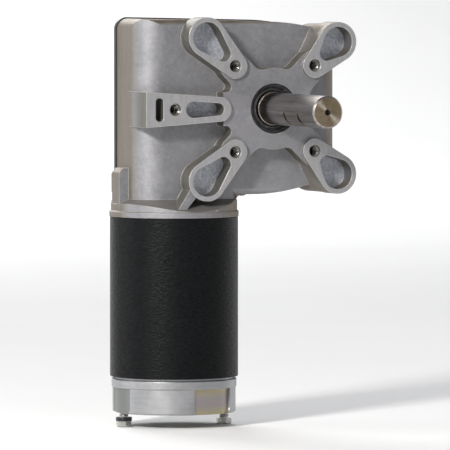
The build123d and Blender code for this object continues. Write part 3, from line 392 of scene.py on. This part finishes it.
def moulded_rubber():
    """Black rubber with a faint bloom and moulding grain."""
    s = Shader("moulded_rubber")
    bloom = s.noise(s.stretched(), 260.0, 5.0, 0.65)
    grain = s.noise(s.stretched(), 2200.0, 2.0)
    specks = s.cells(s.stretched(), 330.0, smooth=False)
    color = s.mix(s.spread(bloom, 0.35, 0.75), (0.010, 0.010, 0.011), (0.040, 0.041, 0.043))
    color = s.mix(s.spread(specks, 0.10, 0.16, 0.6, 0.0), color, (0.20, 0.20, 0.20))
    rounded = s.edge_normal(0.3 * MM)
    rough = s.spread(bloom, 0.3, 0.7, 0.62, 0.45)
    return s.finish(color, rough, 0.0, s.bump(grain, 0.03 * MM, rounded, 0.6))


def laminated_iron():
    """Armature core: thin stacked sheets with varnish at the edges."""
    s = Shader("laminated_iron")
    z = s.object_xyz()[2]
    sheets = s.math("SINE", s.math("MULTIPLY", z, 2 * math.pi / (0.5 * MM)))
    varnish = s.noise(s.stretched(), 220.0, 4.0)
    color = s.mix(s.spread(sheets, -0.6, 0.8), (0.05, 0.05, 0.055), (0.26, 0.26, 0.27))
    color = s.mix(s.spread(varnish, 0.4, 0.75, 0.0, 0.5), color, (0.16, 0.08, 0.03))
    return s.finish(color, s.spread(varnish, 0.3, 0.7, 0.5, 0.34), 0.75, s.bump(sheets, 0.03 * MM))


def enamelled_copper():
    """Armature coils: side by side turns of enamelled wire."""
    s = Shader("enamelled_copper")
    x, y, z = s.object_xyz()
    wire = s.math("MULTIPLY", s.math("ADD", s.math("ADD", x, y), z), 2 * math.pi / (0.9 * MM))
    turns = s.math("SINE", wire)
    tone = s.noise(s.stretched(), 180.0, 4.0)
    color = s.mix(s.spread(tone, 0.3, 0.7), (0.33, 0.10, 0.03), (0.62, 0.24, 0.08))
    color = s.mix(s.spread(turns, -1.0, 0.2, 0.6, 0.0), color, (0.09, 0.03, 0.012))
    rough = s.spread(tone, 0.3, 0.7, 0.38, 0.25)
    return s.finish(color, rough, 0.75, s.bump(turns, 0.12 * MM), Coat_Weight=0.4)


def flat_board(name, dark, light, roughness):
    """Dull non-metal such as ferrite, carbon, board or gasket paper."""
    s = Shader(name)
    grain = s.noise(s.stretched(), 1400.0, 4.0, 0.7)
    cloud = s.noise(s.stretched(), 120.0, 4.0)
    rounded = s.edge_normal(0.25 * MM)
    color = s.mix(s.spread(cloud, 0.3, 0.7), dark, light)
    color = s.mix(s.spread(grain, 0.45, 0.75, 0.0, 0.3), color, light)
    rough = s.spread(grain, 0.3, 0.7, roughness + 0.05, roughness - 0.08)
    return s.finish(color, rough, 0.0, s.bump(grain, 0.04 * MM, rounded, 0.6))


MATERIALS = {
    "cast_aluminium": cast_aluminium(),
    "black_paint": black_paint(),
    "tube_black": crinkle_black(),
    "shaft_steel": ground_shaft(),
    "cap_aluminium": cap_aluminium(),
    "seal_rubber": moulded_rubber(),
    "core_iron": laminated_iron(),
    "copper": enamelled_copper(),
    "zinc_steel": plain_metal(
        "zinc_steel", (0.34, 0.335, 0.32), (0.60, 0.59, 0.57), 0.27, edge=(0.9, 0.88, 0.84)
    ),
    "dark_steel": plain_metal(
        "dark_steel", (0.03, 0.03, 0.033), (0.10, 0.10, 0.105), 0.4, edge=(0.3, 0.3, 0.3)
    ),
    "gear_iron": plain_metal(
        "gear_iron", (0.13, 0.125, 0.12), (0.27, 0.26, 0.25), 0.45, edge=(0.45, 0.44, 0.42)
    ),
    "gear_bronze": plain_metal(
        "gear_bronze", (0.42, 0.24, 0.07), (0.66, 0.43, 0.16), 0.3, edge=(0.85, 0.62, 0.3)
    ),
    "bearing_steel": plain_metal("bearing_steel", (0.48, 0.48, 0.49), (0.70, 0.70, 0.71), 0.16),
    "cage_brass": plain_metal("cage_brass", (0.50, 0.34, 0.10), (0.74, 0.55, 0.22), 0.3),
    "magnet": flat_board("magnet", (0.025, 0.025, 0.027), (0.075, 0.074, 0.073), 0.6),
    "carbon": flat_board("carbon", (0.012, 0.012, 0.013), (0.045, 0.045, 0.047), 0.5),
    "insulator": flat_board("insulator", (0.12, 0.05, 0.02), (0.25, 0.12, 0.05), 0.5),
    "gasket_paper": flat_board("gasket_paper", (0.03, 0.03, 0.03), (0.09, 0.085, 0.08), 0.75),
}

SLOT_OF = {part["node"]: part["material_slot"] for part in RECORD["subparts"]}
for name, node in frame["nodes"].items():
    node.data.materials.clear()
    node.data.materials.append(MATERIALS[SLOT_OF[name]])

# ------------------------------------------------------------------ added detail pieces


def mesh_piece(name, body, slot, verts, faces):
    """A mesh piece that rides on a body and takes its finish from a slot."""
    mesh = bpy.data.meshes.new(name)
    mesh.from_pydata(verts, [], faces)
    mesh.validate()
    mesh.update()
    piece = bpy.data.objects.new(name, mesh)
    bpy.context.scene.collection.objects.link(piece)
    mesh.materials.append(MATERIALS[slot])
    for polygon in mesh.polygons:
        polygon.use_smooth = True
    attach(piece, body)
    return piece


def helix_ridge(radius, pitch, start, length, section, steps=28):
    """Closed ridge swept along a helix about +Z. section lists (inwards, along) points."""
    count = int(length / pitch * steps)
    verts, faces = [], []
    size = len(section)
    for step in range(count + 1):
        angle = 2 * math.pi * step / steps
        fade = min(1.0, step / steps * 2, (count - step) / steps * 2)
        for inwards, along in section:
            r = radius - inwards * fade
            verts.append((r * math.cos(angle), r * math.sin(angle), start + pitch * step / steps + along))
    for step in range(count):
        for corner in range(size):
            near, far = corner, (corner + 1) % size
            a, b = step * size + near, step * size + far
            faces.append((a, b, b + size, a + size))
    faces.append(tuple(range(size)))
    faces.append(tuple(range(count * size + size - 1, count * size - 1, -1)))
    return verts, faces


THREAD_PITCH = 1.25 * MM
THREAD_DEPTH = 0.45 * MM


def bolt_threads():
    """Thread ridges on the bare lengths of the two long bolts, below the cap."""
    foot, crest = 0.34 * MM, 0.06 * MM
    depth, sink = 0.3 * MM, 0.02 * MM
    section = [(sink, -foot), (-depth, -crest), (-depth, crest), (sink, foot)]
    washer_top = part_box("bolt_washer")[1].z
    head_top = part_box("through_bolts")[0].z + BOLT_HEAD_HEIGHT
    for side, start in ((-1, washer_top), (1, head_top)):
        length = CAP_LOW_Z - start - 0.2 * MM
        verts, faces = helix_ridge(BOLT_R, BOLT_THREAD_PITCH, start + 0.5 * MM, length, section)
        placed = [(MOTOR_X + side * BOLT_CIRCLE_R + a, MOTOR_Y + b, c) for a, b, c in verts]
        suffix = "left" if side < 0 else "right"
        mesh_piece("bolt_thread_" + suffix, "casing", "zinc_steel", placed, faces)


def tapped_threads():
    """Thread ridges inside the five tapped holes."""
    foot, crest = 0.5 * MM, 0.09 * MM
    sink = 0.02 * MM
    section = [(-sink, -foot), (THREAD_DEPTH, -crest), (THREAD_DEPTH, crest), (-sink, foot)]
    for number, (x, z) in enumerate(TAPPED_HOLES):
        verts, faces = helix_ridge(HOLE_R, THREAD_PITCH, 1.4 * MM, HOLE_LENGTH - 2.4 * MM, section)
        placed = [(x + a, c, z - b) for a, b, c in verts]
        mesh_piece("tapped_thread_%d" % number, "casing", "zinc_steel", placed, faces)


tapped_threads()
bolt_threads()

# ------------------------------------------------------------------ stage, light and camera

FLOOR_Z = CAD_BOX[0].z - 0.0002


def stage_surface():
    """Pale floor that curves up into a backdrop behind the object."""
    half_width, front, turn, height = 6.0, -7.0, 3.0, 5.0
    bend = 1.5
    profile = [(front, 0.0), (turn, 0.0)]
    for step in range(1, 17):
        angle = math.pi / 2 * step / 16
        profile.append((turn + bend * math.sin(angle), bend * (1 - math.cos(angle))))
    profile.append((turn + bend, height))
    verts = []
    for y, z in profile:
        verts.append((-half_width, y, FLOOR_Z + z))
        verts.append((half_width, y, FLOOR_Z + z))
    faces = [(2 * i, 2 * i + 1, 2 * i + 3, 2 * i + 2) for i in range(len(profile) - 1)]
    mesh = bpy.data.meshes.new("studio_floor")
    mesh.from_pydata(verts, [], faces)
    for polygon in mesh.polygons:
        polygon.use_smooth = True
    floor = bpy.data.objects.new("studio_floor", mesh)
    bpy.context.scene.collection.objects.link(floor)
    s = Shader("studio_floor")
    speckle = s.noise(s.stretched(), 3.0, 2.0)
    color = s.mix(s.spread(speckle, 0.3, 0.7), (0.86, 0.86, 0.86), (0.88, 0.88, 0.88))
    mesh.materials.append(s.finish(color, 0.9, 0.0))


def area_light(name, azimuth, elevation, distance, size, power, color, target):
    """Soft rectangular light at a direction from the target, in degrees."""
    light = bpy.data.lights.new(name, "AREA")
    light.shape = "RECTANGLE"
    light.size, light.size_y = size
    light.energy = power
    light.color = color
    lamp = bpy.data.objects.new(name, light)
    bpy.context.scene.collection.objects.link(lamp)
    lamp.matrix_world = looking_from(azimuth, elevation, distance, target)


def looking_from(azimuth, elevation, distance, target):
    """Pose that looks at the target from an azimuth and elevation in degrees."""
    a, e = math.radians(azimuth), math.radians(elevation)
    back = Vector((math.sin(a) * math.cos(e), -math.cos(a) * math.cos(e), math.sin(e)))
    right = Vector((math.cos(a), math.sin(a), 0.0))
    up = back.cross(right)
    place = target + back * distance
    turn = Matrix((right, up, back)).transposed().to_4x4()
    return Matrix.Translation(place) @ turn


CAMERA_AZIMUTH = -22.0
CAMERA_ELEVATION = 2.63
CAMERA_DISTANCE = 4.0
CAMERA_LENS = 536.0
CAMERA_TARGET = Vector((-0.01626, 0.0395, -0.07033))


def light_and_camera():
    """Soft studio light from the upper left, and the camera."""
    world = bpy.data.worlds.new("studio")
    bpy.context.scene.world = world
    bpy.context.scene.view_settings.view_transform = "Standard"
    world.use_nodes = True
    background = world.node_tree.nodes["Background"]
    background.inputs["Color"].default_value = (0.95, 0.96, 1.0, 1.0)
    background.inputs["Strength"].default_value = 0.26
    middle = Vector((-0.02, 0.0, -0.06))
    area_light("key", -52, 26, 1.6, (0.22, 0.22), 27, (1.0, 0.98, 0.95), middle)
    area_light("fill", 10, 40, 2.2, (1.2, 1.2), 4.5, (0.97, 0.98, 1.0), middle)
    area_light("left_edge", -115, 6, 1.2, (0.35, 1.2), 4, (1.0, 1.0, 1.0), middle)
    area_light("right_edge", 110, 6, 1.2, (0.35, 1.2), 2.5, (1.0, 1.0, 1.0), middle)
    area_light("backdrop", 180, 50, 2.6, (2.5, 1.2), 110, (1.0, 1.0, 1.0), Vector((0.0, 2.2, 0.3)))
    lens = bpy.data.cameras.new("camera")
    lens.lens = CAMERA_LENS
    lens.sensor_width = 36.0
    lens.clip_end = 100.0
    camera = bpy.data.objects.new("camera", lens)
    bpy.context.scene.collection.objects.link(camera)
    camera.matrix_world = looking_from(CAMERA_AZIMUTH, CAMERA_ELEVATION, CAMERA_DISTANCE, CAMERA_TARGET)
    bpy.context.scene.camera = camera


stage_surface()
light_and_camera()
